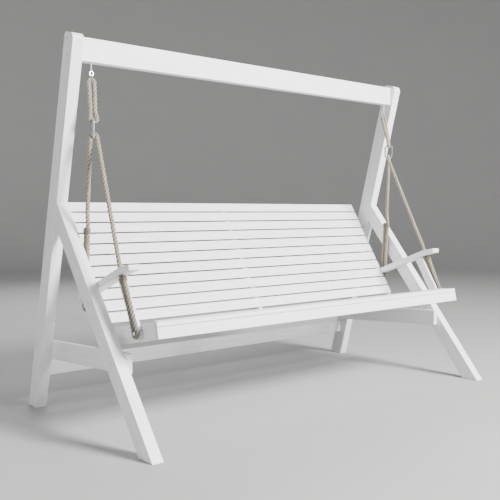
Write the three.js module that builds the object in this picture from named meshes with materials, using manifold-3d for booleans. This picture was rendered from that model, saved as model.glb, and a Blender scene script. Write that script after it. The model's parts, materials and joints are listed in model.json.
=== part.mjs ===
// Free-standing garden swing: two A-shaped side frames, a top beam and a slatted bench on ropes.
// Millimetres, +Z up, the bench faces -Y. The origin is on the ground under the middle of the box.
import * as THREE from 'three';
import { mergeVertices } from 'three/addons/utils/BufferGeometryUtils.js';
import Module from 'manifold-3d';

const wasm = await Module();
wasm.setup();

const rad = THREE.MathUtils.degToRad;
const swing = new THREE.Group();

// ---- driving dimensions -------------------------------------------------------------------
const GAP = 0.3;                  // clearance between pieces that touch
const HALF_WIDTH = 1151;          // centre to the outer face of a side frame
const HALF_DEPTH = 597.5;         // centre to the toe of a foot
const FRAME_THICK = 55;           // posts and legs, across
const POST_DEPTH = 90;
const POST_LEAN = rad(14.53);     // forward lean of the rear posts
const POST_TOP = 1824;            // height of the rear top corner before it is rounded
const POST_ROUND = { rear: 20, front: 30 };
const LEG_DEPTH = 82;
const LEG_LEAN = rad(38.66);      // backward lean of the front legs
const BEAM = { front: 76, rear: 121, bottom: 1689.5, top: 1799 };
const STRETCHER = { front: 500, rear: 536, bottom: 159, top: 232 };
const BRACE_THICK = 30;
const BRACE = { front: -307, rear: 505, topFront: 393, height: 92, fall: 0.0617 };

const HINGE = { x: 1040, y: 85, z: 1628 };   // the swing turns about the bottom of each eye
const EYE = { radius: 10, wire: 3 };          // centre line of the eye and its steel's radius
const LINK = { top: 6.2, bottom: 13.8, drop: 16, wire: 2.5 };   // pear-shaped link in the eye

const BENCH_HALF = 1044.6;        // centre to the outer face of a bench side
const SIDE_THICK = 28;            // side boards, back uprights and bearer
const SLAT_WIDTH = 54.2;
const BACK_THICK = 10;            // back slats
const NOSE_THICK = 20;
const BACK_SLATS = 11;
const BACK_PITCH = 61.55;
const BACK_LEAN = rad(31.86);
const BACK_FOOT = { y: 9.4, z: 477.6 };      // lower front edge of the lowest back slat
const UPRIGHT_DEPTH = 69;
const REAR_RAIL = { thick: 34, height: 42 };   // under the seat, against the uprights
const MIDDLE_X = -64;             // middle support, a little left of centre
const SEAT_SLATS = 6;
const SEAT_PITCH = 69;
const SEAT_THICK = 16;
const SEAT_FALL = 0.18;           // fall of the seat towards the back
const UNDER_FALL = 0.212;         // fall of the lower edge of the side boards
const NOSE = { y: -467.2, z: 542.4, depth: 64, tilt: rad(3) };
const RAIL = { y: -481.5, z: 471.9, thick: 20, height: 50, lean: rad(11.5) };

const ARMREST = { inner: 1030, outer: 1088, front: -320, rear: 150, fall: 0.385, thick: 34 };
const POST_X = { inner: BENCH_HALF + GAP, outer: 1060 };

const ROPE = 10;                  // rope radius
const ROPE_X = 1073;              // plane of the rope eyes, outside the bench
const DOUBLE = 10.7;              // half the distance between doubled strands
const RING = { x: 1050, y: 50, z: 1384, radius: 22, straight: 41, wire: 4.5, turn: rad(62) };
const BIGHT = 15.6;               // bend of the rope round the steel of the ring
const CROWN = { radius: 13.6, drop: 16.5 };   // bend of the rope over the link, below the hinge
const SLING_HALF = 10.8;          // half the distance between the strands of the upper rope
const FRONT_BOLT = { y: -348, z: 483, tail: 258, knee: 330 };
const REAR_BOLT = { y: 104, z: 556, tail: 368, knee: 385 };
const BOLT = { shank: 6, shoulder: 7.5, nut: 10, head: 8.4 };
const CLEAT = { thick: 20, height: 40 };

// ---- materials -----------------------------------------------------------------------------
const finish = (color, roughness, metalness = 0) => () =>
  new THREE.MeshStandardMaterial({ color, roughness, metalness });
const paint = finish(0xf0eeec, 0.5);
const slatPaint = finish(0xeae6e6, 0.55);
const hemp = finish(0xb5a88f, 0.9);
const twine = finish(0x8f8a6a, 0.9);
const steel = finish(0xc9cbcc, 0.25, 1);

// ---- helpers -------------------------------------------------------------------------------
function addPiece(name, geometry, material) {
  const mesh = new THREE.Mesh(geometry, material());
  mesh.name = name;
  swing.add(mesh);
}

// Turns a closed geometry into a solid that can be joined and cut.
function solid(geometry) {
  const plain = geometry.clone();
  plain.deleteAttribute('normal');
  plain.deleteAttribute('uv');
  const merged = mergeVertices(plain, 1e-4);
  const vertProperties = new Float32Array(merged.attributes.position.array);
  const triVerts = new Uint32Array(merged.index.array);
  return new wasm.Manifold(new wasm.Mesh({ numProp: 3, vertProperties, triVerts }));
}

function geometryOf(body) {
  const mesh = body.getMesh();
  const geometry = new THREE.BufferGeometry();
  geometry.setAttribute('position', new THREE.BufferAttribute(new Float32Array(mesh.vertProperties), 3));
  geometry.setIndex(new THREE.BufferAttribute(new Uint32Array(mesh.triVerts), 1));
  geometry.computeVertexNormals();
  return geometry;
}

// Side-view outline in (y, z) as a shape; points are [y, z] pairs.
function outline(points) {
  return new THREE.Shape(points.map(([y, z]) => new THREE.Vector2(y, z)));
}

// Extrudes a side-view shape across the swing, from x0 to x1.
function across(shape, x0, x1, curveSegments = 8) {
  const geometry = new THREE.ExtrudeGeometry(shape, { depth: x1 - x0, bevelEnabled: false, curveSegments });
  const sideways = new THREE.Matrix4().makeBasis(
    new THREE.Vector3(0, 1, 0), new THREE.Vector3(0, 0, 1), new THREE.Vector3(1, 0, 0));
  geometry.applyMatrix4(sideways);
  geometry.translate(x0, 0, 0);
  return geometry;
}

// The same stretch of x on the right (side 1) or the left (side -1).
const span = (side, near, far) => (side > 0 ? [near, far] : [-far, -near]);

function cylinderBetween(from, to, radius, sides = 20) {
  const axis = new THREE.Vector3().subVectors(to, from);
  const geometry = new THREE.CylinderGeometry(radius, radius, axis.length(), sides);
  const upright = new THREE.Vector3(0, 1, 0);
  geometry.applyQuaternion(new THREE.Quaternion().setFromUnitVectors(upright, axis.clone().normalize()));
  geometry.translate((from.x + to.x) / 2, (from.y + to.y) / 2, (from.z + to.z) / 2);
  return geometry;
}

// A smooth route whose steps follow its points, so bends get as many steps as they have points.
class Route extends THREE.Curve {
  constructor(points, closed = false) {
    super();
    this.spline = new THREE.CatmullRomCurve3(points, closed, 'centripetal');
  }

  getPoint(t, target) {
    return this.spline.getPoint(t, target);
  }

  getPointAt(t, target) {
    return this.getPoint(t, target);
  }

  getTangentAt(t, target) {
    return this.getTangent(t, target);
  }
}

function tubeAlong(points, radius, sides) {
  const section = new THREE.Shape();
  for (let i = 0; i < sides; i += 1) {
    const turn = (2 * Math.PI * i) / sides;
    section[i ? 'lineTo' : 'moveTo'](radius * Math.cos(turn), radius * Math.sin(turn));
  }
  const steps = points.length - 1;
  return new THREE.ExtrudeGeometry(section, { steps, extrudePath: new Route(points), bevelEnabled: false });
}

// ---- side frames ---------------------------------------------------------------------------
const postSlope = Math.tan(POST_LEAN);
const postFootFront = HALF_DEPTH - POST_DEPTH / Math.cos(POST_LEAN);
const postFront = (z) => postFootFront - postSlope * z;
const legSlope = Math.tan(LEG_LEAN);
const INNER_X = HALF_WIDTH - FRAME_THICK;

function rearPost(side) {
  const along = new THREE.Vector2(-Math.sin(POST_LEAN), Math.cos(POST_LEAN));
  const back = new THREE.Vector2(Math.cos(POST_LEAN), Math.sin(POST_LEAN));
  const rearTop = new THREE.Vector2(HALF_DEPTH - postSlope * POST_TOP, POST_TOP);
  const frontTop = rearTop.clone().addScaledVector(back, -POST_DEPTH);
  const round = (corner, radius, way) => corner.clone().addScaledVector(along, -radius)
    .addScaledVector(back, way * radius);
  const rearCentre = round(rearTop, POST_ROUND.rear, -1);
  const frontCentre = round(frontTop, POST_ROUND.front, 1);
  const shape = new THREE.Shape();
  shape.moveTo(postFootFront, 0);
  shape.lineTo(HALF_DEPTH, 0);
  const quarter = (centre, radius, start) => {
    shape.absarc(centre.x, centre.y, radius, start, start + Math.PI / 2, false);
  };
  quarter(rearCentre, POST_ROUND.rear, POST_LEAN);
  quarter(frontCentre, POST_ROUND.front, POST_LEAN + Math.PI / 2);
  shape.closePath();
  return across(shape, ...span(side, INNER_X, HALF_WIDTH), 4);
}

function frontLeg(side) {
  const heelY = -HALF_DEPTH + LEG_DEPTH / Math.cos(LEG_LEAN);
  const topOf = (footY) => {
    const z = (postFootFront - GAP - footY) / (legSlope + postSlope);
    return [footY + legSlope * z, z];
  };
  const shape = outline([[-HALF_DEPTH, 0], [heelY, 0], topOf(heelY), topOf(-HALF_DEPTH)]);
  return across(shape, ...span(side, INNER_X, HALF_WIDTH));
}

function brace(side) {
  const top = (y) => BRACE.topFront - BRACE.fall * (y - BRACE.front);
  const shape = outline([
    [BRACE.front, top(BRACE.front) - BRACE.height], [BRACE.rear, top(BRACE.rear) - BRACE.height],
    [BRACE.rear, top(BRACE.rear)], [BRACE.front, top(BRACE.front)]]);
  return across(shape, ...span(side, INNER_X - GAP - BRACE_THICK, INNER_X - GAP));
}

function crossBoard({ front, rear, bottom, top }, half) {
  return across(outline([[front, bottom], [rear, bottom], [rear, top], [front, top]]), -half, half);
}

// Screw eye under the beam: a ring that faces the front, on a short shank.
function hook(side) {
  const x = side * HINGE.x;
  const ring = new THREE.TorusGeometry(EYE.radius, EYE.wire, 10, 28);
  ring.rotateX(Math.PI / 2);
  ring.translate(x, HINGE.y, HINGE.z + EYE.radius);
  const shank = cylinderBetween(
    new THREE.Vector3(x, HINGE.y, HINGE.z + 2 * EYE.radius - 1),
    new THREE.Vector3(x, HINGE.y, BEAM.bottom - GAP), EYE.wire, 12);
  return geometryOf(solid(ring).add(solid(shank)));
}

// ---- bench ---------------------------------------------------------------------------------
const backAlong = new THREE.Vector2(Math.sin(BACK_LEAN), Math.cos(BACK_LEAN));
const backInto = new THREE.Vector2(Math.cos(BACK_LEAN), -Math.sin(BACK_LEAN));
const seatTop = (y) => NOSE.z - SEAT_FALL * (y - NOSE.y);
const seatUnder = (y) => RAIL.z - UNDER_FALL * (y - RAIL.y);

// A point of the back: a length up the slats' front face and a depth behind it.
function backPoint(up, behind) {
  return [BACK_FOOT.y + up * backAlong.x + behind * backInto.x,
    BACK_FOOT.z + up * backAlong.y + behind * backInto.y];
}

function backSlat(index) {
  const low = index * BACK_PITCH;
  const high = low + SLAT_WIDTH;
  const shape = outline([
    backPoint(low, 0), backPoint(low, BACK_THICK), backPoint(high, BACK_THICK), backPoint(high, 0)]);
  return across(shape, -BENCH_HALF, BENCH_HALF);
}

// Where a line of the back at a given depth meets the lower edge of the side boards.
function backFootAt(behind, fall, y0, z0) {
  const [y, z] = backPoint(0, behind);
  const up = (z0 - fall * (y - y0) - z) / (backAlong.y + fall * backAlong.x);
  return backPoint(up, behind);
}

const UPRIGHT_FRONT = BACK_THICK + GAP;
const uprightOutline = () => outline([
  backFootAt(UPRIGHT_FRONT, UNDER_FALL, RAIL.y, RAIL.z),
  backFootAt(UPRIGHT_FRONT + UPRIGHT_DEPTH, UNDER_FALL, RAIL.y, RAIL.z),
  backPoint((BACK_SLATS - 1) * BACK_PITCH + SLAT_WIDTH, UPRIGHT_FRONT + UPRIGHT_DEPTH),
  backPoint((BACK_SLATS - 1) * BACK_PITCH + SLAT_WIDTH, UPRIGHT_FRONT)]);

// Front rail and nosing share one front plane that leans back by RAIL.lean.
const railUp = (length) => [RAIL.y + length * Math.sin(RAIL.lean), RAIL.z + length * Math.cos(RAIL.lean)];
const railBehind = ([y, z], depth) => [y + depth * Math.cos(RAIL.lean), z - depth * Math.sin(RAIL.lean)];
const noseUnder = (y) => NOSE.z - NOSE_THICK - Math.tan(NOSE.tilt) * (y - NOSE.y);

function frontRail() {
  const top = RAIL.height;
  const shape = outline([
    railUp(0), railBehind(railUp(0), RAIL.thick), railBehind(railUp(top + 4), RAIL.thick), railUp(top)]);
  return across(shape, -BENCH_HALF, BENCH_HALF);
}

// The nosing lies on the front rail; behind the rail it fits between the side boards.
function nosing() {
  const rearY = NOSE.y + NOSE.depth;
  const rearZ = NOSE.z - Math.tan(NOSE.tilt) * NOSE.depth;
  const frontLow = NOSE.y - Math.tan(RAIL.lean) * NOSE_THICK;
  const shape = outline([
    [frontLow, noseUnder(frontLow)], [rearY, noseUnder(rearY)], [rearY, rearZ], [NOSE.y, NOSE.z]]);
  const board = solid(across(shape, -BENCH_HALF, BENCH_HALF));
  const low = NOSE.z - 2 * NOSE_THICK;
  const high = NOSE.z + NOSE_THICK;
  const beyond = rearY + 10;
  const cut = outline([
    [railBackY(low) - GAP, low], [beyond, low], [beyond, high], [railBackY(high) - GAP, high]]);
  const notch = (side) => solid(across(
    cut, ...span(side, BENCH_HALF - SIDE_THICK - GAP, BENCH_HALF + 5)));
  return geometryOf(board.subtract(notch(1)).subtract(notch(-1)));
}

const railBackY = (z) => (
  RAIL.y + (RAIL.thick + GAP) / Math.cos(RAIL.lean) + Math.tan(RAIL.lean) * (z - RAIL.z));

function sideBoard(side) {
  const frontLow = railBackY(seatUnder(railBackY(RAIL.z)));
  const frontHigh = railBackY(NOSE.z);
  const shape = outline([
    [frontLow, seatUnder(frontLow)],
    backFootAt(UPRIGHT_FRONT - GAP, UNDER_FALL, RAIL.y, RAIL.z),
    backFootAt(UPRIGHT_FRONT - GAP, SEAT_FALL, NOSE.y, NOSE.z),
    [frontHigh, seatTop(frontHigh)]]);
  const board = solid(across(shape, ...span(side, BENCH_HALF - SIDE_THICK, BENCH_HALF)));
  return geometryOf(board.subtract(boltHole(side, FRONT_BOLT)));
}

function outerUpright(side) {
  const board = solid(across(uprightOutline(), ...span(side, BENCH_HALF - SIDE_THICK, BENCH_HALF)));
  return geometryOf(board.subtract(boltHole(side, REAR_BOLT)));
}

const SEAT_START = NOSE.y + NOSE.depth + 5;
const seatAlong = new THREE.Vector2(1, -SEAT_FALL).normalize();
function seatSlat(index) {
  const y0 = SEAT_START + index * SEAT_PITCH * seatAlong.x;
  const y1 = y0 + SLAT_WIDTH * seatAlong.x;
  const into = { y: SEAT_THICK * seatAlong.y, z: -SEAT_THICK * seatAlong.x };
  const shape = outline([
    [y0 + into.y, seatTop(y0) + into.z], [y1 + into.y, seatTop(y1) + into.z],
    [y1, seatTop(y1)], [y0, seatTop(y0)]]);
  const half = BENCH_HALF - SIDE_THICK - GAP;
  return across(shape, -half, half);
}

const REAR_RAIL_FRONT = UPRIGHT_FRONT - GAP - REAR_RAIL.thick;

// A board on edge under the seat slats, from the front rail to the rear rail.
function bearer(x0, x1, height) {
  const underNose = NOSE.z - SEAT_THICK / seatAlong.x - GAP;
  const under = (y) => underNose - SEAT_FALL * (y - NOSE.y);
  const noseY = NOSE.y + NOSE.depth;
  const front = railBackY(under(noseY));
  const rearAt = (drop) => backFootAt(REAR_RAIL_FRONT - GAP, SEAT_FALL, NOSE.y, underNose - drop);
  const shape = outline([
    [front, under(front) - height], rearAt(height), rearAt(0),
    [noseY, under(noseY)], [front, under(noseY)]]);
  return across(shape, x0, x1);
}

function seatCleat(side) {
  const inside = BENCH_HALF - SIDE_THICK - GAP;
  const cleat = solid(bearer(...span(side, inside - CLEAT.thick, inside), CLEAT.height));
  const nutRoom = solid(cylinderBetween(
    point(side, inside - CLEAT.thick - 5, FRONT_BOLT.y, FRONT_BOLT.z),
    point(side, inside + 5, FRONT_BOLT.y, FRONT_BOLT.z), BOLT.nut + 1, 16));
  return geometryOf(cleat.subtract(nutRoom));
}

// Rear seat rail: between the side boards, under the rearmost seat slat.
function rearRail() {
  const rear = UPRIGHT_FRONT - GAP;
  const topNose = NOSE.z - SEAT_THICK / seatAlong.x - GAP;
  const rearTop = backFootAt(rear, SEAT_FALL, NOSE.y, topNose);
  const frontTop = backFootAt(REAR_RAIL_FRONT, SEAT_FALL, NOSE.y, topNose);
  const drop = ([y, z]) => [y - REAR_RAIL.height * backAlong.x, z - REAR_RAIL.height * backAlong.y];
  const half = BENCH_HALF - SIDE_THICK - GAP;
  return across(outline([drop(frontTop), drop(rearTop), rearTop, frontTop]), -half, half);
}

// ---- armrests ------------------------------------------------------------------------------
const armTop = (y) => 671 - ARMREST.fall * (y + 8);
const ARM_BEND = -180;            // where the straight part of an armrest ends
const ARM_TIP = { top: 774, under: 746, chamfer: 6 };

// Side view of an armrest: straight at the back, easing to nearly level at the front.
function armrestShape(extra = 0) {
  const shape = new THREE.Shape();
  shape.moveTo(ARMREST.rear, armTop(ARMREST.rear) - ARMREST.thick - extra);
  shape.lineTo(ARMREST.rear, armTop(ARMREST.rear));
  shape.lineTo(ARM_BEND, armTop(ARM_BEND));
  const { front } = ARMREST;
  const { top, under, chamfer } = ARM_TIP;
  shape.quadraticCurveTo(front + 60, top - 6, front + chamfer, top);
  shape.lineTo(front, top - chamfer);
  shape.lineTo(front, under + chamfer - extra);
  shape.lineTo(front + chamfer, under - extra);
  shape.quadraticCurveTo(front + 56, under - 7 - extra, ARM_BEND, armTop(ARM_BEND) - ARMREST.thick - extra);
  shape.closePath();
  return shape;
}

// The back takes the inner part of the armrest behind the slats' front face.
function backClearance(side) {
  const ahead = -0.5;
  const shape = outline([
    backPoint(-60, ahead), backPoint(-60, 160), backPoint(400, 160), backPoint(400, ahead)]);
  return solid(across(shape, ...span(side, ARMREST.inner - 10, BENCH_HALF + GAP)));
}

function armrest(side) {
  const blank = solid(across(armrestShape(), ...span(side, ARMREST.inner, ARMREST.outer), 10));
  const front = ropeLeg(side, FRONT_BOLT);
  const rear = ropeLeg(side, REAR_BOLT);
  const { tail } = FRONT_BOLT;
  const merge = tail + 70;
  const bore = (from, to) => solid(cylinderBetween(from, to, ROPE + 2));
  return geometryOf(blank
    .subtract(backClearance(side))
    .subtract(bore(front.at(tail - 60, DOUBLE), front.at(tail, DOUBLE)))
    .subtract(bore(front.at(tail - 3, DOUBLE), front.at(merge, 0)))
    .subtract(bore(front.at(merge - 6, 0), front.at(merge + 60, 0)))
    .subtract(bore(rear.at(10, -DOUBLE), rear.at(160, -DOUBLE)))
    .subtract(bore(rear.at(10, DOUBLE), rear.at(160, DOUBLE))));
}

// The armrest post stands on the outside of the side board, parallel with the back.
function armrestPost(side) {
  const slope = 0.6;
  const frontY = (z) => -232 + slope * (z - 700);
  const depth = 55;
  const low = 497;
  const high = 760;
  const blank = solid(across(outline([
    [frontY(low), low], [frontY(low) + depth, low - 9], [frontY(high) + depth, high], [frontY(high), high]]),
  ...span(side, POST_X.inner, POST_X.outer)));
  const above = solid(across(armrestShape(GAP), ...span(side, ARMREST.inner - 5, ARMREST.outer + 5), 10));
  const middle = (y) => armTop(y) - ARMREST.thick / 2;
  const overhead = solid(across(outline([
    [-400, 770], [-60, middle(-60)], [-60, 900], [-400, 900]]), ...span(side, 1000, 1100)));
  return geometryOf(blank.subtract(above).subtract(overhead));
}

// ---- ropes and steel -----------------------------------------------------------------------
const point = (side, x, y, z) => new THREE.Vector3(side * x, y, z);

// Bolt through a bench side: nut inside, shoulder, rope eye and domed head outside.
function ropeBolt(side, bolt) {
  const inside = BENCH_HALF - SIDE_THICK - GAP;
  const profile = [
    [0, inside - 9], [BOLT.nut, inside - 9], [BOLT.nut, inside], [BOLT.shank, inside],
    [BOLT.shank, BENCH_HALF + GAP], [BOLT.shoulder, BENCH_HALF + GAP],
    [BOLT.shoulder, ROPE_X - ROPE - 1.5], [BOLT.shank, ROPE_X - ROPE - 1.5],
    [BOLT.shank, ROPE_X + 7.4], [BOLT.head, ROPE_X + 7.4],
    [BOLT.head, ROPE_X + 10], [BOLT.head * 0.7, ROPE_X + 11.6], [0, ROPE_X + 12.2]];
  const geometry = new THREE.LatheGeometry(profile.map(([r, x]) => new THREE.Vector2(r, x)), 16);
  geometry.rotateZ(side > 0 ? -Math.PI / 2 : Math.PI / 2);
  geometry.translate(0, bolt.y, bolt.z);
  return geometry;
}

function boltHole(side, bolt) {
  return solid(cylinderBetween(
    point(side, BENCH_HALF - SIDE_THICK - 5, bolt.y, bolt.z),
    point(side, BENCH_HALF + 5, bolt.y, bolt.z), BOLT.shank + 0.5, 16));
}

// Direction across the ring, in which the two strands lie apart where they pass it.
const ringAcross = (side) => (
  new THREE.Vector3(side * Math.sin(RING.turn), Math.cos(RING.turn), 0));
const ringCentre = (side) => point(side, RING.x, RING.y, RING.z);
const ringEdge = RING.radius + RING.straight / 2;
const bightTop = RING.z - ringEdge - 1;

// Local frame of one leg of the rope: a length up from its bolt and an offset in the side view.
// The leg stays in the plane of the eyes up to the armrest, then leans in to the ring.
function ropeLeg(side, bolt) {
  const foot = point(side, ROPE_X, bolt.y, bolt.z);
  const top = ringCentre(side).addScaledVector(ringAcross(side), bolt === FRONT_BOLT ? -BIGHT : BIGHT);
  top.z = bightTop;
  const up = new THREE.Vector3(0, top.y - foot.y, top.z - foot.z);
  const length = up.length();
  up.normalize();
  const level = new THREE.Vector3(0, up.z, -up.y);
  const at = (along, offset) => {
    const p = foot.clone().addScaledVector(up, along).addScaledVector(level, offset);
    p.x += (top.x - foot.x) * Math.max(0, (along - bolt.knee) / (length - bolt.knee));
    return p;
  };
  return { at, length, up, level };
}

// The doubled foot of a leg: tail end, down, round the bolt and back up beside the tail.
function eyePoints(leg, bolt, tailSide) {
  const eye = ROPE + 6.5;
  const tailHeights = [bolt.tail, bolt.tail * 0.7, bolt.tail * 0.4, 58, 40];
  const points = tailHeights.map((h) => leg.at(h, tailSide * DOUBLE));
  for (let turn = 60; turn <= 300; turn += 20) {
    const a = rad(turn);
    points.push(leg.at(eye * Math.cos(a), tailSide * eye * Math.sin(a)));
  }
  [40, 58, bolt.tail * 0.4, bolt.tail * 0.7, bolt.tail + 4].forEach((h) => {
    points.push(leg.at(h, -tailSide * DOUBLE));
  });
  points.push(leg.at(bolt.tail + 70, 0));
  return points;
}

// One rope carries each end of the bench: front eye, up, over the ring's lower bar, down to the rear eye.
function ropeRoute(side) {
  const front = ropeLeg(side, FRONT_BOLT);
  const rear = ropeLeg(side, REAR_BOLT);
  const points = eyePoints(front, FRONT_BOLT, -1);
  [0.5, 0.72, 0.92].forEach((part) => points.push(front.at(front.length * part, 0)));
  for (let turn = 180; turn >= 0; turn -= 20) {
    const a = rad(turn);
    const p = ringCentre(side).addScaledVector(ringAcross(side), BIGHT * Math.cos(a));
    p.z = bightTop + BIGHT * Math.sin(a);
    points.push(p);
  }
  [0.92, 0.75, 0.6].forEach((part) => points.push(rear.at(rear.length * part, 0)));
  return points.concat(eyePoints(rear, REAR_BOLT, 1).reverse());
}

// Upper rope loop: over the link's lower bar and under the ring's upper bar.
function slingRoute(side) {
  const low = RING.z + ringEdge + 1;
  const bight = (turn) => {
    const p = ringCentre(side).addScaledVector(ringAcross(side), BIGHT * Math.sin(rad(turn)));
    p.z = low - BIGHT * Math.cos(rad(turn));
    return p;
  };
  const bend = HINGE.z - CROWN.drop - CROWN.radius;
  const crown = (turn) => point(side, HINGE.x + CROWN.radius * Math.cos(rad(turn)), HINGE.y,
    bend + CROWN.radius * Math.sin(rad(turn)));
  const neck = (way) => {
    const p = ringCentre(side).addScaledVector(ringAcross(side), way * SLING_HALF);
    p.y += 6;
    p.z = low + 30;
    return p;
  };
  const strand = (way) => {
    const top = crown(way > 0 ? 0 : 180);
    return [0.3, 0.65].map((part) => new THREE.Vector3().lerpVectors(neck(way), top, part));
  };
  const points = [2, 24, 46, 68, 90].map(bight);
  points.push(neck(1), ...strand(1));
  for (let turn = 0; turn <= 180; turn += 20) points.push(crown(turn));
  points.push(...strand(-1).reverse(), neck(-1));
  return points.concat([-90, -68, -46, -24, -2].map(bight));
}

// Pear-shaped link of round steel: its small end hangs in the eye, the rope lies in its large end.
function pearLink(side) {
  const half = (way) => {
    const arc = (radius, centre, from, to) => {
      const points = [];
      for (let turn = from; turn <= to; turn += 20) {
        const a = rad(turn);
        points.push(point(side, HINGE.x, HINGE.y + way * radius * Math.cos(a),
          HINGE.z + centre + radius * Math.sin(a)));
      }
      return points;
    };
    const outlinePoints = [...arc(LINK.bottom, -LINK.drop, -100, 0), ...arc(LINK.top, 0, 0, 100)];
    return solid(tubeAlong(outlinePoints, LINK.wire, 10));
  };
  return geometryOf(half(1).add(half(-1)));
}

// Long ring where the upper loop meets the two lower legs, turned about the vertical.
function splitRing(side) {
  const half = (from, to) => {
    const arc = [];
    for (let turn = from; turn <= to; turn += 15) {
      const a = rad(turn);
      const shift = from === 0 ? RING.straight / 2 : -RING.straight / 2;
      arc.push(new THREE.Vector3(RING.radius * Math.cos(a), 0, RING.radius * Math.sin(a) + shift));
    }
    return tubeAlong(arc, RING.wire, 10);
  };
  const reach = RING.straight / 2 + 1;
  const bar = (x) => cylinderBetween(
    new THREE.Vector3(x, 0, -reach), new THREE.Vector3(x, 0, reach), RING.wire, 10);
  const ring = solid(half(0, 180)).add(solid(half(180, 360)))
    .add(solid(bar(RING.radius))).add(solid(bar(-RING.radius)));
  const geometry = geometryOf(ring);
  geometry.rotateZ(-side * RING.turn);
  const centre = ringCentre(side);
  geometry.translate(centre.x, centre.y, centre.z);
  return geometry;
}

// Twine seizing that binds a tail to its rope.
function seizing(side, bolt) {
  const leg = ropeLeg(side, bolt);
  const stadium = (radius) => {
    const shape = new THREE.Shape();
    shape.absarc(DOUBLE, 0, radius, -Math.PI / 2, Math.PI / 2, false);
    shape.absarc(-DOUBLE, 0, radius, Math.PI / 2, 1.5 * Math.PI, false);
    shape.closePath();
    return shape;
  };
  const shape = stadium(ROPE + 2.4);
  shape.holes.push(stadium(ROPE + 0.4));
  const height = 20;
  const settings = { depth: height, bevelEnabled: false, curveSegments: 6 };
  const geometry = new THREE.ExtrudeGeometry(shape, settings);
  const third = new THREE.Vector3().crossVectors(leg.up, leg.level);
  geometry.applyMatrix4(new THREE.Matrix4().makeBasis(leg.level, third, leg.up));
  const base = leg.at(bolt.tail - height - 4, 0);
  geometry.translate(base.x, base.y, base.z);
  return geometry;
}

// ---- assembly ------------------------------------------------------------------------------
for (const [word, side] of [['left', -1], ['right', 1]]) {
  addPiece(`${word}_rear_post`, rearPost(side), paint);
  addPiece(`${word}_front_leg`, frontLeg(side), paint);
  addPiece(`${word}_brace`, brace(side), paint);
  addPiece(`${word}_screw_eye`, hook(side), steel);
  addPiece(`${word}_link`, pearLink(side), steel);
  addPiece(`${word}_upper_rope`, tubeAlong(slingRoute(side), ROPE, 10), hemp);
  addPiece(`${word}_rope_ring`, splitRing(side), steel);
  addPiece(`${word}_rope`, tubeAlong(ropeRoute(side), ROPE, 10), hemp);
  addPiece(`${word}_front_seizing`, seizing(side, FRONT_BOLT), twine);
  addPiece(`${word}_rear_seizing`, seizing(side, REAR_BOLT), twine);
  addPiece(`${word}_front_rope_bolt`, ropeBolt(side, FRONT_BOLT), steel);
  addPiece(`${word}_rear_rope_bolt`, ropeBolt(side, REAR_BOLT), steel);
  addPiece(`${word}_side_board`, sideBoard(side), paint);
  addPiece(`${word}_back_upright`, outerUpright(side), paint);
  addPiece(`${word}_armrest_post`, armrestPost(side), paint);
  addPiece(`${word}_armrest`, armrest(side), paint);
  addPiece(`${word}_seat_cleat`, seatCleat(side), paint);
}

addPiece('top_beam', crossBoard(BEAM, INNER_X - GAP), paint);
addPiece('rear_stretcher', crossBoard(STRETCHER, INNER_X - GAP), paint);
addPiece('front_rail', frontRail(), paint);
addPiece('nosing_slat', nosing(), slatPaint);
addPiece('rear_rail', rearRail(), paint);
const middleSpan = [MIDDLE_X - SIDE_THICK / 2, MIDDLE_X + SIDE_THICK / 2];
addPiece('middle_upright', across(uprightOutline(), ...middleSpan), paint);
addPiece('middle_bearer', bearer(...middleSpan, 45), paint);
for (let i = 0; i < BACK_SLATS; i += 1) addPiece(`back_slat_${i + 1}`, backSlat(i), slatPaint);
for (let i = 0; i < SEAT_SLATS; i += 1) addPiece(`seat_slat_${i + 1}`, seatSlat(i), slatPaint);

export default swing;
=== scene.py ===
"""Garden swing: painted timber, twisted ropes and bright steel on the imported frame."""
import json
import math
import random

import bmesh
import bpy
from mathutils import Matrix, Vector


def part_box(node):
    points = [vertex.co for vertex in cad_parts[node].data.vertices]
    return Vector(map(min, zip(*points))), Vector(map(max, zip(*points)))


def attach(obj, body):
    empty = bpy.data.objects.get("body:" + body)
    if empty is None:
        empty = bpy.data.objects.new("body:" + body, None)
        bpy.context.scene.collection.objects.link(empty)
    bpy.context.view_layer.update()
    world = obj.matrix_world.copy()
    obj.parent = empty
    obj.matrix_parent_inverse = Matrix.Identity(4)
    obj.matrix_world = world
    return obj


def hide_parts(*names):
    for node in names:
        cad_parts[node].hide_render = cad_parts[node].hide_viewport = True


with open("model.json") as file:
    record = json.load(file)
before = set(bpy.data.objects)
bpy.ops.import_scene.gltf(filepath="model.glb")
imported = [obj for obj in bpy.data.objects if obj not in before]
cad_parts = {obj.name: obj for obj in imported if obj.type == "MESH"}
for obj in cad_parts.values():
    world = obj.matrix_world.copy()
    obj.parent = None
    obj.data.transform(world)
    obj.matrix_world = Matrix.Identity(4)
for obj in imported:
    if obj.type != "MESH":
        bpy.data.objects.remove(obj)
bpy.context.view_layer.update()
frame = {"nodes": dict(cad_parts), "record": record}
nodes = frame["nodes"]
scene = bpy.context.scene
MM = 0.001


def add_object(name, data):
    """A new object that holds this data, in the scene."""
    made = bpy.data.objects.new(name, data)
    scene.collection.objects.link(made)
    return made


# ---- camera ----------------------------------------------------------------------------------
CAMERA_AT = (-2.666, -3.021, 1.0005)
CAMERA_AZIMUTH = math.radians(-39.75)
CAMERA_PITCH = math.radians(-3.03)
CAMERA_LENS = 52.6
CAMERA_SENSOR = 36


def add_camera():
    data = bpy.data.cameras.new("camera")
    data.lens = CAMERA_LENS
    data.sensor_width = CAMERA_SENSOR
    camera = add_object("camera", data)
    camera.location = CAMERA_AT
    camera.rotation_euler = (math.pi / 2 + CAMERA_PITCH, 0, CAMERA_AZIMUTH)
    scene.camera = camera


add_camera()

# ---- node graph helpers ----------------------------------------------------------------------


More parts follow.
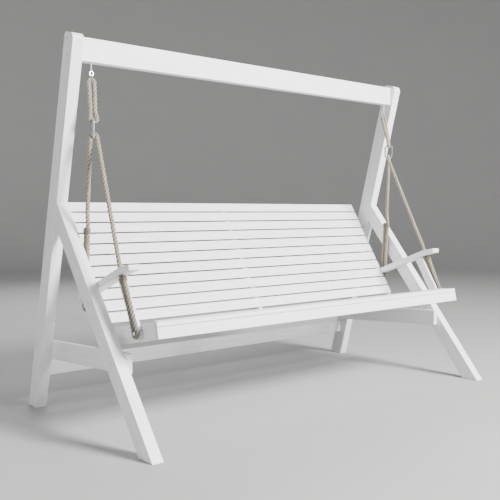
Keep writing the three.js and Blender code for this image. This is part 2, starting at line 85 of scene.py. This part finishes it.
class Graph:
    """A material's node tree, built a node at a time."""

    def __init__(self, name):
        self.material = bpy.data.materials.new(name)
        self.material.use_nodes = True
        self.tree = self.material.node_tree
        self.shader = self.tree.nodes["Principled BSDF"]

    def add(self, kind, **settings):
        """A new node with these properties."""
        node = self.tree.nodes.new(kind)
        for key, value in settings.items():
            setattr(node, key, value)
        return node

    def put(self, value, socket):
        """Links another node's output to the socket, or sets the socket to a plain value."""
        if isinstance(value, bpy.types.NodeSocket):
            self.tree.links.new(value, socket)
        else:
            socket.default_value = value

    def attribute(self, name):
        return self.add("ShaderNodeAttribute", attribute_name=name).outputs["Vector"]

    def scaled(self, vector, scale):
        node = self.add("ShaderNodeVectorMath", operation="MULTIPLY")
        self.put(vector, node.inputs[0])
        node.inputs[1].default_value = scale
        return node.outputs[0]

    def noise(self, vector, scale, detail=4.0, rough=0.5, distortion=0.0):
        node = self.add("ShaderNodeTexNoise")
        self.put(vector, node.inputs["Vector"])
        node.inputs["Scale"].default_value = scale
        node.inputs["Detail"].default_value = detail
        node.inputs["Roughness"].default_value = rough
        node.inputs["Distortion"].default_value = distortion
        return node.outputs["Fac"]

    def math(self, operation, a, b):
        node = self.add("ShaderNodeMath", operation=operation)
        self.put(a, node.inputs[0])
        self.put(b, node.inputs[1])
        return node.outputs[0]

    def ramp(self, value, low, high):
        """0 at low and 1 at high, with soft ends. It falls instead when low is the larger."""
        node = self.add("ShaderNodeMapRange", interpolation_type="SMOOTHSTEP")
        self.put(value, node.inputs["Value"])
        node.inputs["From Min"].default_value = low
        node.inputs["From Max"].default_value = high
        return node.outputs[0]

    def mix(self, factor, a, b):
        node = self.add("ShaderNodeMix", data_type="RGBA")
        self.put(factor, node.inputs["Factor"])
        self.put(a, node.inputs[6])
        self.put(b, node.inputs[7])
        return node.outputs[2]

    def bump(self, height, distance, strength):
        node = self.add("ShaderNodeBump")
        self.put(height, node.inputs["Height"])
        node.inputs["Distance"].default_value = distance
        node.inputs["Strength"].default_value = strength
        return node.outputs["Normal"]

    def finish(self, **inputs):
        """Feeds the shader's inputs, which are named with _ for a space, and gives the material."""
        for name, value in inputs.items():
            self.put(value, self.shader.inputs[name.replace("_", " ")])
        return self.material


# ---- materials -------------------------------------------------------------------------------
KNOT = (0.62, 0.58, 0.52, 1)
BARE_WOOD = (0.56, 0.53, 0.50, 1)
RING_SHADE = (0.60, 0.55, 0.48, 1)
# painted shade for the grooves between the strands
GROOVE_SHADE = (0.07, 0.06, 0.045, 1)
# dark grey that the rope turns to near its bolts
NEAR_BOLT_DARK = (0.115, 0.11, 0.105, 1)
ROPE_STAIN = (0.36, 0.33, 0.23, 1)
DULL_ZINC = (0.42, 0.42, 0.43, 1)
GRAIN_DEPTH = 0.0004                # bump heights are in metres
YARN_DEPTH = 0.0011
SCRATCH_DEPTH = 0.00006


def painted_wood(name, colour, shade):
    """Paint over softwood: the grain shows through, arrises are worn, knots are faint."""
    g = Graph(name)
    board = g.attribute("board")
    streaks = g.noise(g.scaled(board, (1.6, 26, 26)), 4.0, 6.0, 0.62, 0.6)
    fibres = g.noise(g.scaled(board, (3.0, 160, 160)), 3.0, 3.0, 0.6)
    brush = g.noise(g.scaled(board, (2.2, 70, 70)), 5.0, 4.0, 0.55)
    blotch = g.noise(board, 7.0, 3.0, 0.6)
    knot = g.add("ShaderNodeTexVoronoi", feature="F1")
    g.put(g.scaled(board, (2.6, 9, 9)), knot.inputs["Vector"])
    knot.inputs["Scale"].default_value = 1.0
    knot_spot = g.ramp(knot.outputs["Distance"], 0.17, 0.06)
    wear = g.math("MULTIPLY", g.attribute("wear"), 0.62)
    worn = g.ramp(g.math("ADD", wear, g.math("MULTIPLY", blotch, 0.5)), 0.66, 0.84)
    tone = g.mix(g.ramp(streaks, 0.35, 0.72), colour, shade)
    tone = g.mix(g.math("MULTIPLY", g.ramp(blotch, 0.5, 0.8), 0.3), tone, shade)
    tone = g.mix(g.math("MULTIPLY", knot_spot, 0.12), tone, KNOT)
    tone = g.mix(g.math("MULTIPLY", worn, 0.22), tone, BARE_WOOD)
    gloss = g.math("ADD", 0.42, g.math("MULTIPLY", brush, 0.25))
    gloss = g.math("ADD", gloss, g.math("MULTIPLY", worn, 0.2))
    height = g.math("ADD", g.math("MULTIPLY", streaks, 0.7), g.math("MULTIPLY", fibres, 0.3))
    height = g.math("ADD", height, g.math("MULTIPLY", brush, 0.35))
    return g.finish(Base_Color=tone, Roughness=gloss, Normal=g.bump(height, GRAIN_DEPTH, 0.8))


def end_grain(name, colour):
    """Painted end grain: a rougher surface with faint rings."""
    g = Graph(name)
    board = g.attribute("board")
    rings = g.add("ShaderNodeTexWave", wave_type="RINGS", rings_direction="X")
    g.put(g.scaled(board, (0.0, 1, 1)), rings.inputs["Vector"])
    rings.inputs["Scale"].default_value = 60
    rings.inputs["Distortion"].default_value = 3
    pores = g.noise(board, 900, 2.0)
    tone = g.mix(g.math("MULTIPLY", rings.outputs["Fac"], 0.35), colour, RING_SHADE)
    height = g.math("ADD", rings.outputs["Fac"], pores)
    return g.finish(Base_Color=tone, Roughness=0.75, Normal=g.bump(height, GRAIN_DEPTH, 0.7))


def laid_rope(name, light, dark):
    """Natural-fibre yarns: fine lines along the strand, painted shade in the grooves, and darker near
    the bolts.
    """
    g = Graph(name)
    along = g.attribute("strand")
    yarns = g.noise(g.scaled(along, (34, 4.5, 4.5)), 1.0, 4.0, 0.65)
    fuzz = g.noise(g.scaled(along, (420, 12, 12)), 1.0, 2.0, 0.7)
    stain = g.noise(g.scaled(along, (9, 0.4, 0.4)), 1.0, 3.0, 0.6)
    shade = g.add("ShaderNodeSeparateXYZ")
    g.put(g.attribute("shade"), shade.inputs[0])
    tone = g.mix(g.ramp(yarns, 0.32, 0.68), light, dark)
    # Painted shade: the grooves between the strands are darkened towards near black.
    tone = g.mix(g.math("MULTIPLY", shade.outputs[0], 0.8), tone, GROOVE_SHADE)
    # The rope is darkened towards dark grey near its bolts.
    tone = g.mix(g.math("MULTIPLY", shade.outputs[1], 0.7), tone, NEAR_BOLT_DARK)
    tone = g.mix(g.math("MULTIPLY", g.ramp(stain, 0.5, 0.75), 0.5), tone, ROPE_STAIN)
    height = g.math("ADD", yarns, g.math("MULTIPLY", fuzz, 0.5))
    return g.finish(
        Base_Color=tone, Roughness=0.88, Normal=g.bump(height, YARN_DEPTH, 1.0),
        Sheen_Weight=0.25, Sheen_Roughness=0.6)


def plated_steel(name, colour, rough):
    """Bright zinc plate with fine scratches and a few dull spots."""
    g = Graph(name)
    where = g.add("ShaderNodeTexCoord").outputs["Object"]
    dull = g.noise(where, 180, 4.0, 0.6)
    scratch = g.noise(g.scaled(where, (900, 900, 90)), 1.0, 2.0, 0.7)
    tone = g.mix(g.math("MULTIPLY", g.ramp(dull, 0.5, 0.75), 0.6), colour, DULL_ZINC)
    gloss = g.math("ADD", rough, g.math("MULTIPLY", dull, 0.25))
    return g.finish(
        Base_Color=tone, Metallic=1.0, Roughness=gloss, Normal=g.bump(scratch, SCRATCH_DEPTH, 0.6))


FRAME_PAINT = painted_wood("frame_paint", (0.83, 0.83, 0.83, 1), (0.74, 0.735, 0.73, 1))
# Painted light: the slats, the front rail and their screw heads have the frame's white paint with a pink
# tint painted in for the light on them, and their end grain has it too.
SLAT_PAINT_PINK_LIGHT = painted_wood("slat_paint_with_painted_pink_light", (0.81, 0.775, 0.795, 1), (0.72, 0.685, 0.70, 1))
FRAME_END = end_grain("frame_end_grain", (0.76, 0.75, 0.74, 1))
SLAT_END_PINK_LIGHT = end_grain("slat_end_grain_with_painted_pink_light", (0.74, 0.71, 0.70, 1))
# Painted shade: the back slats' long edges that face a gap are painted near black, for the shade inside
# the gaps.
# The gaps between the slats look dark in the photo, and the floor here is pale.
SLAT_GAP_SHADE = painted_wood("slat_gap_painted_shade", (0.15, 0.14, 0.145, 1), (0.10, 0.095, 0.10, 1))
ROPE = laid_rope("rope_fibre", (0.40, 0.345, 0.26, 1), (0.16, 0.135, 0.095, 1))
TWINE = laid_rope("twine_fibre", (0.31, 0.27, 0.205, 1), (0.19, 0.16, 0.12, 1))
STEEL = plated_steel("zinc_plate", (0.78, 0.79, 0.80, 1), 0.16)

# ---- timber ----------------------------------------------------------------------------------
POST_LEAN = math.radians(14.53)     # these leans and the fall of the braces are the CAD part's
LEG_LEAN = math.radians(38.66)
BACK_LEAN = math.radians(31.86)
BRACE_FALL = 0.0617
BACK_SLATS = 11
BACK_UP = Vector((0, math.sin(BACK_LEAN), math.cos(BACK_LEAN)))
BACK_OUT = Vector((0, -math.cos(BACK_LEAN), math.sin(BACK_LEAN)))
BEVEL = 2.2 * MM                    # size of a rounded arris
SHARP_ANGLE = math.radians(25)      # edges that bend more than this are rounded
SHORTEST_ARRIS = 5 * MM
END_FACE = 0.86                     # cosine to the grain, above which a face is end grain
GAP_FACE = 0.8                      # cosine to the slope of the back, above which it is a slat's edge
GRAIN_SHIFT = 40                    # metres, so that no two boards show the same grain
LONG_AXIS = {
    "rear_post": Vector((0, -math.sin(POST_LEAN), math.cos(POST_LEAN))),
    "front_leg": Vector((0, math.sin(LEG_LEAN), math.cos(LEG_LEAN))),
    "brace": Vector((0, 1, -BRACE_FALL)).normalized(),
    "upright": BACK_UP,
    "armrest_post": Vector((0, 0.514, 0.858)),
    "side_board": Vector((0, 1, -0.2)).normalized(),
    "cleat": Vector((0, 1, -0.18)).normalized(),
    "bearer": Vector((0, 1, -0.18)).normalized(),
    "armrest": Vector((0, 1, -0.33)).normalized(),
}


def long_axis(name):
    """The way a board's grain runs, which is across the swing unless its name says otherwise."""
    for word, axis in LONG_AXIS.items():
        if word in name:
            return axis
    return Vector((1, 0, 0))


def round_arrises(mesh, width):
    """Bevels a board's sharp edges; only the faces of the bevels are shaded smooth."""
    bm = bmesh.new()
    bm.from_mesh(mesh)
    bmesh.ops.remove_doubles(bm, verts=bm.verts, dist=1e-6)
    bmesh.ops.dissolve_limit(bm, angle_limit=math.radians(1), verts=bm.verts, edges=bm.edges)
    sharp = [e for e in bm.edges if e.is_manifold and e.calc_face_angle(0) > SHARP_ANGLE]
    long_enough = [e for e in sharp if e.calc_length() > SHORTEST_ARRIS]
    for edge in bm.edges:
        edge.smooth = True
    for face in bm.faces:
        face.smooth = False
    rounded = bmesh.ops.bevel(
        bm, geom=long_enough, offset=width, segments=3, profile=0.5, affect="EDGES", clamp_overlap=True)
    for face in rounded["faces"]:
        face.smooth = True
    bmesh.ops.triangulate(bm, faces=bm.faces)
    bmesh.ops.recalc_face_normals(bm, faces=bm.faces)
    bm.to_mesh(mesh)
    bm.free()


def mark_grain(mesh, along, shift):
    """Stores each point in the board's own axes, and where the arrises wear."""
    across = Vector((1, 0, 0)) if along.x == 0 else Vector((0, 1, 0))
    third = along.cross(across).normalized()
    board = mesh.attributes.new("board", "FLOAT_VECTOR", "POINT")
    wear = mesh.attributes.new("wear", "FLOAT_VECTOR", "CORNER")
    for i, v in enumerate(mesh.vertices):
        board.data[i].vector = Vector((v.co.dot(along), v.co.dot(across), v.co.dot(third))) + shift
    for face in mesh.polygons:
        for corner in face.loop_indices:
            wear.data[corner].vector = Vector((1, 1, 1)) * float(face.use_smooth)


def gets_gap_shade(name, normal):
    """True for a back slat's long edge that faces another slat or the seat: an edge that gets painted
    shade.
    """
    uphill = normal.dot(BACK_UP)
    is_top = name == f"back_slat_{BACK_SLATS}"
    return name.startswith("back_slat") and (uphill < -GAP_FACE or (uphill > GAP_FACE and not is_top))


def timber(name, body, paint, end_paint, seed):
    """Copies a CAD board, rounds its arrises, paints its sides and ends, and paints its gap edges near
    black as shade.
    """
    chance = random.Random(seed)
    mesh = nodes[name].data.copy()
    mesh.name = name + "_wood"
    piece = add_object(name + "_wood", mesh)
    round_arrises(mesh, BEVEL * chance.uniform(0.85, 1.25))
    along = long_axis(name)
    mark_grain(mesh, along, Vector([chance.uniform(-GRAIN_SHIFT, GRAIN_SHIFT) for _ in range(3)]))
    mesh.materials.clear()
    mesh.materials.append(paint)
    mesh.materials.append(end_paint)
    # Painted shade: a third, near-black paint for the back slats' long edges inside the gaps.
    if name.startswith("back_slat"):
        mesh.materials.append(SLAT_GAP_SHADE)
    for face in mesh.polygons:
        face.material_index = 1 if abs(face.normal.dot(along)) > END_FACE else 0
        if gets_gap_shade(name, face.normal):
            face.material_index = 2
    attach(piece, body)
    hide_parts(name)


TIMBER_WORDS = ("slat", "post", "leg", "brace", "beam", "stretcher", "rail", "board", "upright",
                "bearer", "cleat", "armrest")
body_of = {node: body for body, members in frame["record"]["behaviour"]["bodies"].items()
           for node in members}
for index, name in enumerate(sorted(nodes)):
    if not any(word in name for word in TIMBER_WORDS):
        continue
    # The slats and the front rail take the paint with the painted pink light.
    if "slat" in name or name == "front_rail":
        timber(name, body_of[name], SLAT_PAINT_PINK_LIGHT, SLAT_END_PINK_LIGHT, index)
    else:
        timber(name, body_of[name], FRAME_PAINT, FRAME_END, index)

# ---- ropes -----------------------------------------------------------------------------------
# The same driving sizes as the CAD part's, in millimetres.
HINGE = Vector((1040, 85, 1628))
ROPE_R = 10
ROPE_X = 1073
DOUBLE = 10.7
RING = {"x": 1050, "y": 50, "z": 1384, "radius": 22, "straight": 41, "turn": math.radians(62)}
BIGHT = 15.6
CROWN_RADIUS, CROWN_DROP = 13.6, 16.5
SLING_HALF = 10.8
FRONT_BOLT = {"y": -348, "z": 483, "tail": 258, "knee": 330, "side": -1}
REAR_BOLT = {"y": 104, "z": 556, "tail": 368, "knee": 385, "side": 1}
EYE_R = ROPE_R + 6.5                # bend of the rope round a bolt
RING_EDGE = RING["radius"] + RING["straight"] / 2      # the ring's middle to its upper or lower bar
BIGHT_TOP = RING["z"] - RING_EDGE - 1                  # middle of the lower rope's bend over the bar
# What only the visible ropes have.
LAY = 60                            # length of one full turn of the strands
SWELL = 0.6                         # how far the strands stand out past the CAD rope
STRAND_PRESS = 1.04                 # strands this much thicker than circles that just touch
# The painted groove shade is full at this depth.
GROOVE_SHADE_DEPTH = 0.42                 # depth of the grooves, as a part of the radius
ROPE_STEP, TWINE_STEP = 4.0, 1.6    # spacing of the points along them
TWINE_R, TWINE_LAY = 1.35, 8
TWINE_TURNS, TWINE_PITCH = 8, 2.5
TWINE_OFF = 2.0                     # from the CAD rope's surface to the middle of the twine
TWINE_BELOW = 24                    # from the end of the tail down to the first turn
TURN_STEPS = 24                     # points in one turn of the twine
STRAND_SHIFT = (7.3, 5)             # gives each strand its own part of the pattern
BOLT_DARK_FULL, BOLT_DARK_NONE = 40, 150    # distances from a bolt


def ring_centre(side):
    return Vector((side * RING["x"], RING["y"], RING["z"]))


def ring_across(side):
    return Vector((side * math.sin(RING["turn"]), math.cos(RING["turn"]), 0))


class Leg:
    """One leg of a rope: up from its bolt, straight to the armrest and then in to the ring."""

    def __init__(self, side, bolt):
        self.foot = Vector((side * ROPE_X, bolt["y"], bolt["z"]))
        top = ring_centre(side) + ring_across(side) * (bolt["side"] * BIGHT)
        top.z = BIGHT_TOP
        self.top = top
        self.knee = bolt["knee"]
        self.up = Vector((0, top.y - self.foot.y, top.z - self.foot.z))
        self.length = self.up.length
        self.up.normalize()
        self.level = Vector((0, self.up.z, -self.up.y))

    def at(self, along, offset):
        """The point this far up the leg and this far behind it."""
        p = self.foot + self.up * along + self.level * offset
        p.x += (self.top.x - self.foot.x) * max(0, (along - self.knee) / (self.length - self.knee))
        return p


def eye_points(leg, bolt, tail_side):
    """From the end of the tail down to the bolt, round it and up to where the strands part."""
    tail = bolt["tail"]
    heights = (tail * 0.7, tail * 0.4, 58, 40)
    points = [leg.at(h, tail_side * DOUBLE) for h in (tail, *heights)]
    for turn in range(60, 301, 20):
        a = math.radians(turn)
        points.append(leg.at(EYE_R * math.cos(a), tail_side * EYE_R * math.sin(a)))
    points += [leg.at(h, -tail_side * DOUBLE) for h in (*heights[::-1], tail + 4)]
    points.append(leg.at(tail + 70, 0))
    return points


def rope_route(side):
    """The lower rope: from the front bolt up over the ring's lower bar and down to the rear bolt."""
    front, rear = Leg(side, FRONT_BOLT), Leg(side, REAR_BOLT)
    points = eye_points(front, FRONT_BOLT, -1)
    points += [front.at(front.length * part, 0) for part in (0.5, 0.72, 0.92)]
    for turn in range(180, -1, -20):
        a = math.radians(turn)
        p = ring_centre(side) + ring_across(side) * (BIGHT * math.cos(a))
        p.z = BIGHT_TOP + BIGHT * math.sin(a)
        points.append(p)
    points += [rear.at(rear.length * part, 0) for part in (0.92, 0.75, 0.6)]
    return points + eye_points(rear, REAR_BOLT, 1)[::-1]


def sling_route(side):
    """The upper rope: from under the ring's upper bar over the link and back."""
    low = RING["z"] + RING_EDGE + 1

    def bight(turn):
        a = math.radians(turn)
        p = ring_centre(side) + ring_across(side) * (BIGHT * math.sin(a))
        p.z = low - BIGHT * math.cos(a)
        return p

    def crown(turn):
        a = math.radians(turn)
        bend = HINGE.z - CROWN_DROP - CROWN_RADIUS
        return Vector((
            side * (HINGE.x + CROWN_RADIUS * math.cos(a)), HINGE.y, bend + CROWN_RADIUS * math.sin(a)))

    def neck(way):
        p = ring_centre(side) + ring_across(side) * (way * SLING_HALF)
        return Vector((p.x, p.y + 6, low + 30))

    def strand(way):
        top = crown(0 if way > 0 else 180)
        return [neck(way).lerp(top, part) for part in (0.3, 0.65)]

    points = [bight(turn) for turn in (2, 24, 46, 68, 90)]
    points += [neck(1)] + strand(1)
    points += [crown(turn) for turn in range(0, 181, 20)]
    points += strand(-1)[::-1] + [neck(-1)]
    return points + [bight(turn) for turn in (-90, -68, -46, -24, -2)]


def smooth_line(points, step):
    """A centripetal spline through the points, cut into equal steps of about this length."""
    line = []
    padded = [points[0] * 2 - points[1]] + points + [points[-1] * 2 - points[-2]]
    for p0, p1, p2, p3 in zip(padded, padded[1:], padded[2:], padded[3:]):
        t1 = max((p1 - p0).length ** 0.5, 1e-6)
        t2 = t1 + max((p2 - p1).length ** 0.5, 1e-6)
        t3 = t2 + max((p3 - p2).length ** 0.5, 1e-6)
        cuts = max(2, int((p2 - p1).length))
        for i in range(cuts):
            t = t1 + (t2 - t1) * i / cuts
            a1 = p0.lerp(p1, t / t1)
            a2 = p1.lerp(p2, (t - t1) / (t2 - t1))
            a3 = p2.lerp(p3, (t - t2) / (t3 - t2))
            b1 = a1.lerp(a2, t / t2)
            b2 = a2.lerp(a3, (t - t1) / (t3 - t1))
            line.append(b1.lerp(b2, (t - t1) / (t2 - t1)))
    line.append(points[-1].copy())
    total = sum((b - a).length for a, b in zip(line, line[1:]))
    count = max(2, round(total / step))
    spacing = total / count
    even = [line[0].copy()]
    walked = 0.0
    target = spacing
    for a, b in zip(line, line[1:]):
        length = (b - a).length
        while length > 0 and walked + length >= target - 1e-9 and len(even) < count:
            even.append(a.lerp(b, (target - walked) / length))
            target += spacing
        walked += length
    even.append(line[-1].copy())
    return even


def carried_frames(line):
    """Tangent and a side vector at each point, carried along without twisting."""
    tangents = []
    for i in range(len(line)):
        ahead = line[min(i + 1, len(line) - 1)]
        behind = line[max(i - 1, 0)]
        tangents.append((ahead - behind).normalized())
    side = tangents[0].orthogonal().normalized()
    frames = []
    for i, tangent in enumerate(tangents):
        if i:
            side = tangents[i - 1].rotation_difference(tangent) @ side
        side = (side - tangent * side.dot(tangent)).normalized()
        frames.append((tangent, side, tangent.cross(side)))
    return frames


def round_point(radius, part):
    """A point on a circle, after this part of a full turn."""
    a = 2 * math.pi * part
    return radius * math.cos(a), radius * math.sin(a)


def clamped(value):
    return max(0.0, min(1.0, value))


def twisted_mesh(name, line, radius, lay, strands, sides, material, bolt_darkening=None):
    """Strands laid round a line. radius is the whole rope's; lay is one full turn's length."""
    strand_r = radius / (1 + 1 / math.sin(math.pi / strands)) * STRAND_PRESS
    offset = radius - strand_r
    frames = carried_frames(line)
    verts, faces, coords, shades = [], [], [], []
    step = (line[1] - line[0]).length
    for s in range(strands):
        centres = []
        for i, p in enumerate(line):
            c, d = round_point(1, i * step / lay + s / strands)
            centres.append(p + (frames[i][1] * c + frames[i][2] * d) * offset)
        own = carried_frames(centres)
        base = len(verts)
        for i, centre in enumerate(centres):
            from_end = min(i, len(centres) - 1 - i)
            r = strand_r * min(1.0, 0.62 + 0.19 * from_end)     # the ends are rounded off
            for k in range(sides):
                c, d = round_point(1, k / sides)
                spot = centre + (own[i][1] * c + own[i][2] * d) * r
                verts.append(spot * MM)
                # Painted shade: the deeper a point sits in a groove, the darker it is painted.
                sunk = (radius - (spot - line[i]).length) / (radius * GROOVE_SHADE_DEPTH)
                # The second value makes the rope darker near its bolts.
                shades.append((clamped(sunk), bolt_darkening(spot) if bolt_darkening else 0.0, 0.0))
                coords.append((i * step * MM + s * STRAND_SHIFT[0], c + s * STRAND_SHIFT[1], d))
        for i in range(len(centres) - 1):
            for k in range(sides):
                a = base + i * sides + k
                b = base + i * sides + (k + 1) % sides
                faces.append((a, b, b + sides, a + sides))
        last = base + (len(centres) - 1) * sides
        faces.append(tuple(base + k for k in range(sides))[::-1])
        faces.append(tuple(last + k for k in range(sides)))
    mesh = bpy.data.meshes.new(name)
    mesh.from_pydata(verts, [], faces)
    mesh.update()
    strand = mesh.attributes.new("strand", "FLOAT_VECTOR", "POINT")
    shade = mesh.attributes.new("shade", "FLOAT_VECTOR", "POINT")
    for i, coord in enumerate(coords):
        strand.data[i].vector = coord
        shade.data[i].vector = shades[i]
    mesh.materials.append(material)
    for face in mesh.polygons:
        face.use_smooth = len(face.vertices) == 4
    return add_object(name, mesh)


def wrap_line(centre, axis, wide, half_wide, half_thick):
    """A helix of twine round two strands that lie side by side."""
    thick = axis.cross(wide).normalized()
    flat = half_wide - half_thick
    points = []
    for i in range(TWINE_TURNS * TURN_STEPS + 1):
        c, s = round_point(1, i / TURN_STEPS)
        along_wide = half_thick * c + max(-flat, min(flat, flat * 1.6 * c))
        rise = TWINE_PITCH * i / TURN_STEPS
        points.append(centre + wide * along_wide + thick * (half_thick * s) + axis * rise)
    return points


def darker_near_bolt(spot):
    """Darker where the rope bends round its bolt, fading out above it."""
    near = min((spot.yz - Vector((bolt["y"], bolt["z"]))).length for bolt in (FRONT_BOLT, REAR_BOLT))
    return clamped((BOLT_DARK_NONE - near) / (BOLT_DARK_NONE - BOLT_DARK_FULL))


for word, side in (("left", -1), ("right", 1)):
    for node, route in ((f"{word}_rope", rope_route(side)), (f"{word}_upper_rope", sling_route(side))):
        line = smooth_line(route, ROPE_STEP)
        piece = twisted_mesh(node + "_laid", line, ROPE_R + SWELL, LAY, 3, 10, ROPE, darker_near_bolt)
        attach(piece, "seat")
        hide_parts(node)
    for bolt, end in ((FRONT_BOLT, "front"), (REAR_BOLT, "rear")):
        leg = Leg(side, bolt)
        centre = leg.at(bolt["tail"] - TWINE_BELOW, 0)
        half_thick = ROPE_R + TWINE_OFF
        wrap = wrap_line(centre, leg.up, leg.level, DOUBLE + half_thick, half_thick)
        line = smooth_line(wrap, TWINE_STEP)
        piece = twisted_mesh(f"{word}_{end}_twine", line, TWINE_R, TWINE_LAY, 2, 6, TWINE)
        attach(piece, "seat")
        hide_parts(f"{word}_{end}_seizing")

# ---- steel -----------------------------------------------------------------------------------
for name, node in nodes.items():
    if any(word in name for word in ("screw_eye", "_link", "rope_ring", "rope_bolt")):
        node.data.materials.clear()
        node.data.materials.append(STEEL)
        for face in node.data.polygons:
            face.use_smooth = "rope_bolt" not in name


def circle_verts(bm, place, radii, height):
    """A ring of new points, one for each radius, in a plane at this height over the place."""
    spots = [round_point(radius, k / len(radii)) for k, radius in enumerate(radii)]
    return [bm.verts.new(place @ Vector((x, y, height))) for x, y in spots]


def add_band(bm, low, high):
    """Faces between two rings of points."""
    for k in range(len(low)):
        n = (k + 1) % len(low)
        bm.faces.new((low[k], low[n], high[n], high[k]))


HEAD_SIDES = 16
HEAD_PROFILE = ((1, -0.3), (1, 0.5), (0.8, 1.0), (0.45, 1.25))     # part of the radius, height in mm
CROSS_ARM, CROSS_HUB = 0.42, 0.16                                  # parts of the radius
CROSS_TOP, CROSS_BOTTOM = 1.2, 0.3                                 # heights in mm
HEAD_PATTERN = 3                    # how many times finer the paint's pattern is on a head


def screw_head(bm, at, normal, radius):
    """A shallow domed head with a cross recess, sunk a little into the paint."""
    turn = normal.to_track_quat("Z", "Y").to_matrix().to_4x4()
    place = Matrix.Translation(at) @ turn @ Matrix.Scale(MM, 4)
    rows = [circle_verts(bm, place, [radius * part] * HEAD_SIDES, z) for part, z in HEAD_PROFILE]
    cross = [radius * (CROSS_HUB if k % 4 else CROSS_ARM) for k in range(HEAD_SIDES)]
    rows += [circle_verts(bm, place, cross, z) for z in (CROSS_TOP, CROSS_BOTTOM)]
    for low, high in zip(rows, rows[1:]):
        add_band(bm, low, high)
    bm.faces.new(rows[-1])
    bm.faces.new(rows[0][::-1])


def screws(name, places, body, material):
    """One piece with a head at each place, given as a point in mm, the way it faces and a radius."""
    mesh = bpy.data.meshes.new(name)
    bm = bmesh.new()
    for at, normal, radius in places:
        screw_head(bm, Vector(at) * MM, Vector(normal), radius)
    bmesh.ops.recalc_face_normals(bm, faces=bm.faces)
    bm.to_mesh(mesh)
    bm.free()
    mesh.materials.append(material)
    board = mesh.attributes.new("board", "FLOAT_VECTOR", "POINT")
    for i, v in enumerate(mesh.vertices):
        board.data[i].vector = v.co * HEAD_PATTERN
    for face in mesh.polygons:
        face.use_smooth = False
    piece = add_object(name, mesh)
    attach(piece, body)


def middle_of(node):
    """The middle of a CAD node's box, in millimetres."""
    low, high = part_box(node)
    return (low + high) / 2 / MM


HALF_WIDTH = 1151
FRAME_SCREWS = (                    # (y, z) in the outer face of each side frame
    (102, 1788), (102, 1717),       # into the top beam
    (-267, 350), (-252, 306),       # at the front end of the brace
    (488, 330), (490, 240),         # at the rear end of the brace
    (512, 215), (526, 176),         # into the rear stretcher
)
FRAME_HEAD, SLAT_HEAD, RAIL_HEAD = 5.0, 3.4, 3.6       # radii
frame_screws = []
for side in (-1, 1):
    for y, z in FRAME_SCREWS:
        frame_screws.append(((side * HALF_WIDTH, y, z), (side, 0, 0), FRAME_HEAD))
screws("frame_screw_heads", frame_screws, "frame", STEEL)

BACK_THICK = 10
SCREW_SPREAD = 13                   # from a slat's middle line to its screws
RAIL_SCREWS = {"y": -476, "z": 499}
RAIL_OUT = Vector((0, -math.cos(0.2), math.sin(0.2)))
MIDDLE_X = middle_of("middle_upright").x
slat_screws = []
for row in range(BACK_SLATS):
    face = middle_of(f"back_slat_{row + 1}") + BACK_OUT * (BACK_THICK / 2)
    for x in (middle_of("left_back_upright").x, middle_of("right_back_upright").x, MIDDLE_X):
        for lift in (-SCREW_SPREAD, SCREW_SPREAD):
            slat_screws.append((Vector((x, 0, 0)) + face + BACK_UP * lift, BACK_OUT, SLAT_HEAD))
for x in (-1000, -520, MIDDLE_X, 520, 1000):
    slat_screws.append(((x, RAIL_SCREWS["y"], RAIL_SCREWS["z"]), RAIL_OUT, RAIL_HEAD))
# The slat screws' heads take the slats' paint, with its painted pink light.
screws("slat_screw_heads", slat_screws, "seat", SLAT_PAINT_PINK_LIGHT)

# ---- floor and light -------------------------------------------------------------------------
FLOOR_RADIUS = 9.0
WALL_CURVE = 4.0
WALL_TOP = 8.0
CURVE_STEPS = 12
FLOOR_SIDES = 96


def add_floor():
    """A round floor that curves up into a wall, so no horizon shows."""
    profile = [(FLOOR_RADIUS, 0.0)]
    for step in range(1, CURVE_STEPS + 1):
        a = math.radians(90 * step / CURVE_STEPS)
        profile.append((FLOOR_RADIUS + WALL_CURVE * math.sin(a), WALL_CURVE - WALL_CURVE * math.cos(a)))
    profile.append((FLOOR_RADIUS + WALL_CURVE, WALL_TOP))
    mesh = bpy.data.meshes.new("floor")
    bm = bmesh.new()
    centre = bm.verts.new((0, 0, 0))
    rows = [circle_verts(bm, Matrix.Identity(4), [r] * FLOOR_SIDES, z) for r, z in profile]
    for k in range(FLOOR_SIDES):
        bm.faces.new((centre, rows[0][k], rows[0][(k + 1) % FLOOR_SIDES]))
    for low, high in zip(rows, rows[1:]):
        add_band(bm, high, low)
    for face in bm.faces:
        face.smooth = True
    bm.to_mesh(mesh)
    bm.free()
    floor = add_object("floor", mesh)
    floor.location.z = -0.0005      # just under the feet
    g = Graph("floor_paint")
    where = g.add("ShaderNodeTexCoord").outputs["Object"]
    tone = g.mix(g.noise(where, 1.5, 3.0), (0.34, 0.34, 0.34, 1), (0.37, 0.37, 0.367, 1))
    speckle = g.bump(g.noise(where, 220, 3.0), GRAIN_DEPTH, 0.4)
    mesh.materials.append(g.finish(Base_Color=tone, Roughness=0.85, Normal=speckle))


def add_area(name, at, target, size, power, colour):
    """A round soft light of this diameter in metres and power in watts."""
    data = bpy.data.lights.new(name, "AREA")
    data.shape = "DISK"
    data.size = size
    data.energy = power
    data.color = colour
    light = add_object(name, data)
    light.location = at
    light.rotation_euler = (Vector(target) - Vector(at)).to_track_quat("-Z", "Y").to_euler()


def add_world():
    world = bpy.data.worlds.new("studio")
    scene.world = world
    world.use_nodes = True
    background = world.node_tree.nodes["Background"]
    background.inputs["Color"].default_value = (0.80, 0.81, 0.82, 1)
    background.inputs["Strength"].default_value = 0.3


add_floor()
add_world()
add_area("key", at=(1.6, -5.6, 3.9), target=(0, 0, 0.8), size=2.4, power=1900, colour=(1.0, 0.99, 0.975))
add_area("fill", at=(-5.5, -1.5, 2.6), target=(0, 0, 0.8), size=3.6, power=150, colour=(0.97, 0.98, 1.0))
add_area("back", at=(1.5, 5.0, 4.0), target=(0, 0, 1.0), size=3.0, power=240, colour=(1, 1, 1))
